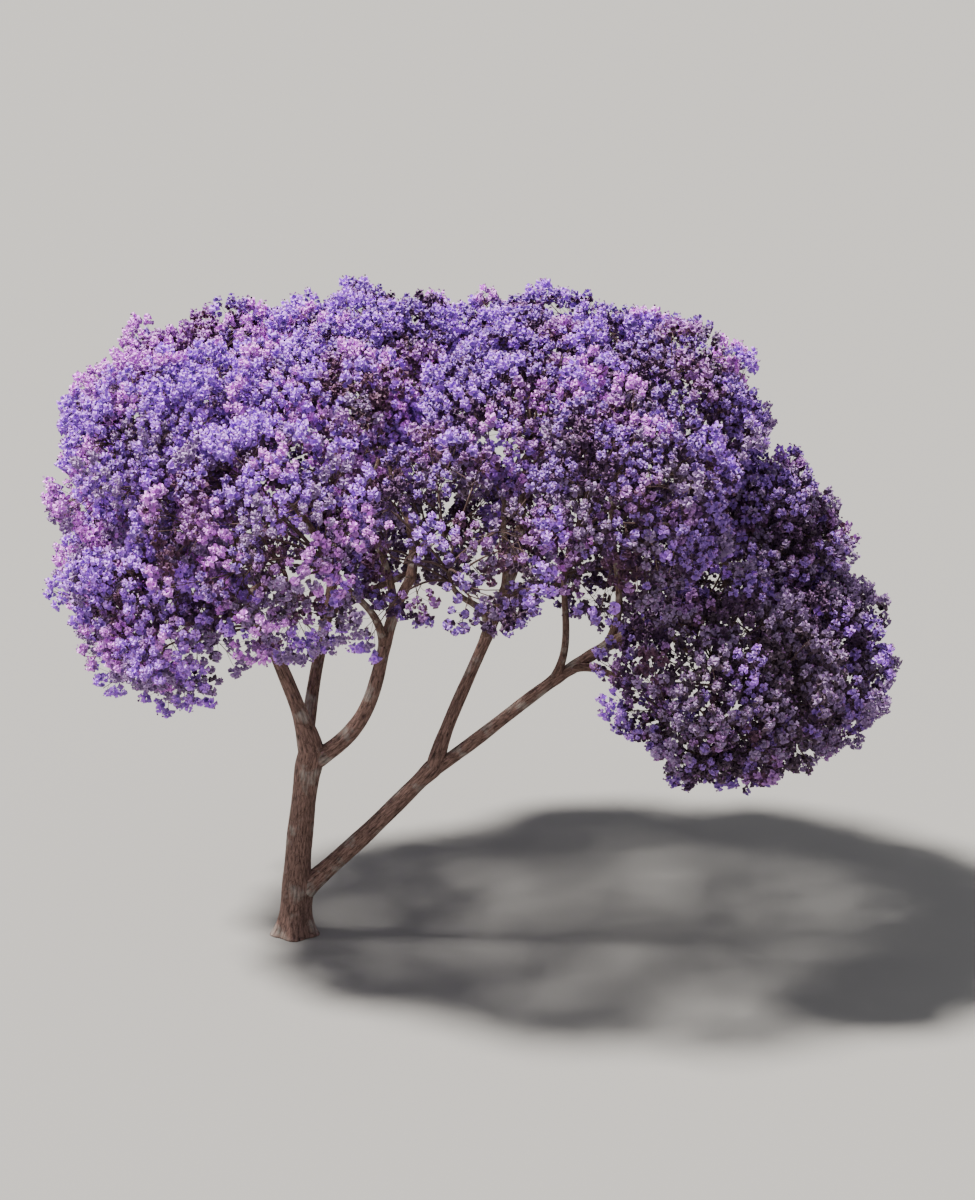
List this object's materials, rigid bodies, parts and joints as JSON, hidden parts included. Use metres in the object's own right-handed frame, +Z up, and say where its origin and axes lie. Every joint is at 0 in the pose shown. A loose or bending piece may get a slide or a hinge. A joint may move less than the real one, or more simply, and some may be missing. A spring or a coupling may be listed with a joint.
{
  "type": "jacaranda tree",
  "caption": "Wide, low-forked jacaranda in full lilac-blue bloom, almost leafless: a leaning trunk and a long side stem carry a flat domed crown of blossom masses.",
  "frame": {"origin": "middle of the flat cut under the trunk, at ground level", "axes": "+Z up, +X to the right in the picture along the crown's greatest width, +Y away from the viewer"},
  "size_m": [16.7676, 13.2789, 12.4239],
  "materials": {
    "bark": "matte, fissured grey-brown bark",
    "blossom": "matte lilac-blue petals"
  },
  "bodies": {
    "root": {"trunk": "bark", "leaning_stem": "bark", "left_limb": "bark", "centre_limb": "bark", "back_limb": "bark", "upright_fork": "bark", "leaning_fork": "bark", "bough_top_back_right": "bark", "bough_top_back_left": "bark", "bough_top_front_left": "bark", "bough_top_front_right": "bark", "bough_shoulder_right": "bark", "bough_shoulder_back_right": "bark", "bough_shoulder_back": "bark", "bough_shoulder_back_left": "bark", "bough_shoulder_left": "bark", "bough_shoulder_front_left": "bark", "bough_shoulder_front": "bark", "bough_shoulder_front_right": "bark", "bough_flank_right": "bark", "bough_skirt_right": "bark", "bough_skirt_right_rear": "bark", "bough_skirt_back_right": "bark", "bough_skirt_back": "bark", "bough_skirt_back_left": "bark", "bough_skirt_left": "bark", "bough_skirt_front_left": "bark", "bough_skirt_front_right": "bark", "blossom_top_back_right": "blossom", "blossom_top_back_left": "blossom", "blossom_top_front_left": "blossom", "blossom_top_front_right": "blossom", "blossom_shoulder_right": "blossom", "blossom_shoulder_back_right": "blossom", "blossom_shoulder_back": "blossom", "blossom_shoulder_back_left": "blossom", "blossom_shoulder_left": "blossom", "blossom_shoulder_front_left": "blossom", "blossom_shoulder_front": "blossom", "blossom_shoulder_front_right": "blossom", "blossom_flank_right": "blossom", "blossom_skirt_right": "blossom", "blossom_skirt_right_rear": "blossom", "blossom_skirt_back_right": "blossom", "blossom_skirt_back": "blossom", "blossom_skirt_back_left": "blossom", "blossom_skirt_left": "blossom", "blossom_skirt_front_left": "blossom", "blossom_skirt_front_right": "blossom"}
  },
  "joints": []
}
